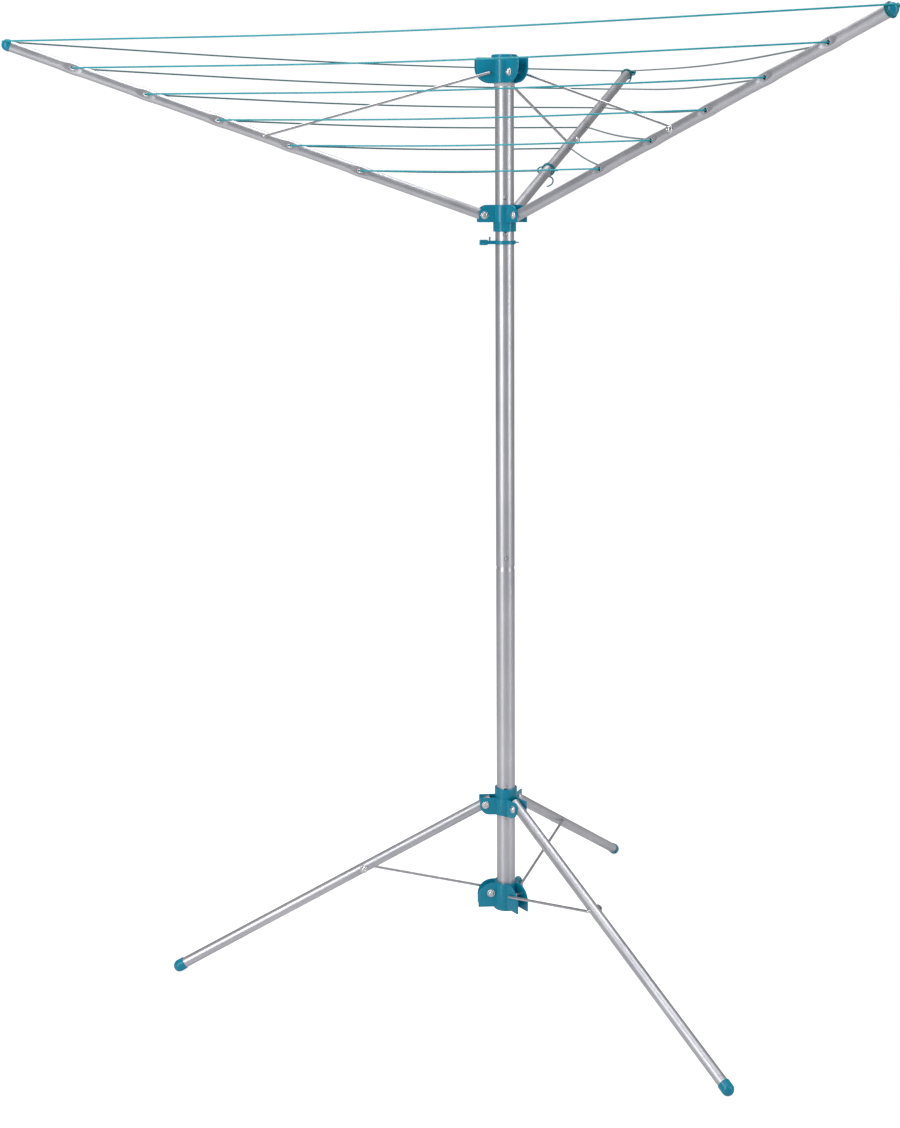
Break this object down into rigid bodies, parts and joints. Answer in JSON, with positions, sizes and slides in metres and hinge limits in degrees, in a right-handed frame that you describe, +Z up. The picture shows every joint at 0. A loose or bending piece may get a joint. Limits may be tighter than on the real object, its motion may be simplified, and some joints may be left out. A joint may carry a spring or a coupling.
{
  "type": "rotary clothesline",
  "caption": "Free-standing rotary clothesline: folding tripod, telescoping pole, umbrella-like arms on a sliding hub and a clothesline wound in triangles.",
  "frame": {"origin": "on the pole's axis at floor level", "axes": "+Z up along the pole; arm a points along -X, arms b and c follow anticlockwise seen from above"},
  "size_m": [1.3096, 1.5439, 1.6971],
  "materials": {
    "tube": "satin",
    "plastic": "gloss",
    "chrome": "polished",
    "bush": "moulded nylon",
    "wire": "bright zinc plated",
    "line": "smooth PVC",
    "spring_steel": "plain"
  },
  "bodies": {
    "stand": {"lower_pole": "tube", "bottom_hub": "plastic", "seam_spring": "spring_steel", "leg_spring_high": "spring_steel", "leg_spring_low": "spring_steel"},
    "upper": {"upper_pole": "tube", "head_bush": "bush", "arm_spring_high": "spring_steel", "arm_spring_low": "spring_steel"},
    "head": {"top_hub": "plastic"},
    "arm_hub": {"arm_hub": "plastic", "arm_rivets": "chrome", "clothesline": "line"},
    "leg_hub": {"leg_hub": "plastic", "leg_rivets": "chrome"},
    "clip_ring": {"clip_ring": "plastic"},
    "arm_a": {"arm_a": "tube", "tip_a": "plastic"},
    "stay_a": {"stay_a": "wire", "stay_a_nuts": "chrome"},
    "arm_b": {"arm_b": "tube", "tip_b": "plastic"},
    "stay_b": {"stay_b": "wire", "stay_b_nuts": "chrome"},
    "arm_c": {"arm_c": "tube", "tip_c": "plastic"},
    "stay_c": {"stay_c": "wire", "stay_c_nuts": "chrome"},
    "leg_a": {"leg_a": "tube", "foot_a": "plastic"},
    "spreader_a": {"spreader_a": "wire", "spreader_a_nuts": "chrome"},
    "leg_b": {"leg_b": "tube", "foot_b": "plastic"},
    "spreader_b": {"spreader_b": "wire", "spreader_b_nuts": "chrome"},
    "leg_c": {"leg_c": "tube", "foot_c": "plastic"},
    "spreader_c": {"spreader_c": "wire", "spreader_c_nuts": "chrome"},
    "arm_button_low": {"arm_button_low": "chrome"},
    "arm_button_high": {"arm_button_high": "chrome"},
    "seam_button": {"seam_button": "chrome"},
    "leg_button_high": {"leg_button_high": "chrome"},
    "leg_button_low": {"leg_button_low": "chrome"}
  },
  "joints": [
    {"name": "upper_pole_lift", "type": "slide", "parent": "stand", "child": "upper", "axis": [0, 0, 1], "range_m": [0, 0.15]},
    {"name": "head_spin", "type": "hinge", "parent": "upper", "child": "head", "pos_m": [0, 0, 1.642], "axis": [0, 0, 1], "continuous": true},
    {"name": "arm_hub_slide", "type": "slide", "parent": "head", "child": "arm_hub", "axis": [0, 0, -1], "range_m": [0, 0.5832], "deforming": ["clothesline"]},
    {"name": "leg_hub_slide", "type": "slide", "parent": "stand", "child": "leg_hub", "axis": [0, 0, 1], "range_m": [0, 0.32368]},
    {"name": "arm_a_fold", "type": "hinge", "parent": "arm_hub", "child": "arm_a", "pos_m": [-0.039, 0, 1.3884], "axis": [0, 1, 0], "range_deg": [0, 68.7]},
    {"name": "stay_a_fold", "type": "hinge", "parent": "head", "child": "stay_a", "pos_m": [-0.029, 0, 1.642], "axis": [0, -1, 0], "range_deg": [0, 71.65]},
    {"name": "arm_b_fold", "type": "hinge", "parent": "arm_hub", "child": "arm_b", "pos_m": [0.01849, -0.03434, 1.3884], "axis": [-0.8805, -0.4741, 0], "range_deg": [0, 68.7]},
    {"name": "stay_b_fold", "type": "hinge", "parent": "head", "child": "stay_b", "pos_m": [0.01375, -0.02553, 1.642], "axis": [0.8805, 0.4741, 0], "range_deg": [0, 71.65]},
    {"name": "arm_c_fold", "type": "hinge", "parent": "arm_hub", "child": "arm_c", "pos_m": [0.01891, 0.03411, 1.3884], "axis": [0.8746, -0.4848, 0], "range_deg": [0, 68.7]},
    {"name": "stay_c_fold", "type": "hinge", "parent": "head", "child": "stay_c", "pos_m": [0.01406, 0.02536, 1.642], "axis": [-0.8746, 0.4848, 0], "range_deg": [0, 71.65]},
    {"name": "leg_a_fold", "type": "hinge", "parent": "leg_hub", "child": "leg_a", "pos_m": [-0.03884, 0.00353, 0.304], "axis": [-0.0906, -0.9959, 0], "range_deg": [0, 58.56]},
    {"name": "spreader_a_fold", "type": "hinge", "parent": "stand", "child": "spreader_a", "pos_m": [-0.02888, 0.00263, 0.137], "axis": [0.0906, 0.9959, 0], "range_deg": [0, 71.25]},
    {"name": "leg_b_fold", "type": "hinge", "parent": "leg_hub", "child": "leg_b", "pos_m": [0.01636, -0.0354, 0.304], "axis": [0.9078, 0.4195, 0], "range_deg": [0, 58.56]},
    {"name": "spreader_b_fold", "type": "hinge", "parent": "stand", "child": "spreader_b", "pos_m": [0.01216, -0.02633, 0.137], "axis": [-0.9078, -0.4195, 0], "range_deg": [0, 71.25]},
    {"name": "leg_c_fold", "type": "hinge", "parent": "leg_hub", "child": "leg_c", "pos_m": [0.02141, 0.0326, 0.304], "axis": [-0.8358, 0.549, 0], "range_deg": [0, 58.56]},
    {"name": "spreader_c_fold", "type": "hinge", "parent": "stand", "child": "spreader_c", "pos_m": [0.01592, 0.02424, 0.137], "axis": [0.8358, -0.549, 0], "range_deg": [0, 71.25]},
    {"name": "clip_ring_slide", "type": "slide", "parent": "upper", "child": "clip_ring", "axis": [0, 0, -1], "range_m": [0, 0.56705]},
    {"name": "arm_button_low_press", "type": "slide", "parent": "upper", "child": "arm_button_low", "axis": [-0.1392, -0.9903, 0], "range_m": [-0.0035, 0], "stiffness_N_per_m": 1500, "deforming": ["arm_spring_low"]},
    {"name": "arm_button_high_press", "type": "slide", "parent": "upper", "child": "arm_button_high", "axis": [-0.1392, -0.9903, 0], "range_m": [-0.0035, 0], "stiffness_N_per_m": 1500, "deforming": ["arm_spring_high"]},
    {"name": "seam_button_press", "type": "slide", "parent": "stand", "child": "seam_button", "axis": [-0.0175, -0.9998, 0], "range_m": [-0.0035, 0], "stiffness_N_per_m": 1500, "deforming": ["seam_spring"]},
    {"name": "leg_button_high_press", "type": "slide", "parent": "stand", "child": "leg_button_high", "axis": [-0.2079, -0.9781, 0], "range_m": [-0.0035, 0], "stiffness_N_per_m": 1500, "deforming": ["leg_spring_high"]},
    {"name": "leg_button_low_press", "type": "slide", "parent": "stand", "child": "leg_button_low", "axis": [-0.2079, -0.9781, 0], "range_m": [-0.0035, 0], "stiffness_N_per_m": 1500, "deforming": ["leg_spring_low"]}
  ],
  "couplings": [
    {"joint": "arm_a_fold", "follows": "arm_hub_slide", "rad_per_m": 2.056},
    {"joint": "stay_a_fold", "follows": "arm_hub_slide", "rad_per_m": 2.1443},
    {"joint": "arm_b_fold", "follows": "arm_hub_slide", "rad_per_m": 2.056},
    {"joint": "stay_b_fold", "follows": "arm_hub_slide", "rad_per_m": 2.1443},
    {"joint": "arm_c_fold", "follows": "arm_hub_slide", "rad_per_m": 2.056},
    {"joint": "stay_c_fold", "follows": "arm_hub_slide", "rad_per_m": 2.1443},
    {"joint": "leg_a_fold", "follows": "leg_hub_slide", "rad_per_m": 3.1577},
    {"joint": "spreader_a_fold", "follows": "leg_hub_slide", "rad_per_m": 3.8419},
    {"joint": "leg_b_fold", "follows": "leg_hub_slide", "rad_per_m": 3.1577},
    {"joint": "spreader_b_fold", "follows": "leg_hub_slide", "rad_per_m": 3.8419},
    {"joint": "leg_c_fold", "follows": "leg_hub_slide", "rad_per_m": 3.1577},
    {"joint": "spreader_c_fold", "follows": "leg_hub_slide", "rad_per_m": 3.8419},
    {"joint": "clip_ring_slide", "follows": "arm_hub_slide", "ratio": 0.97231}
  ]
}
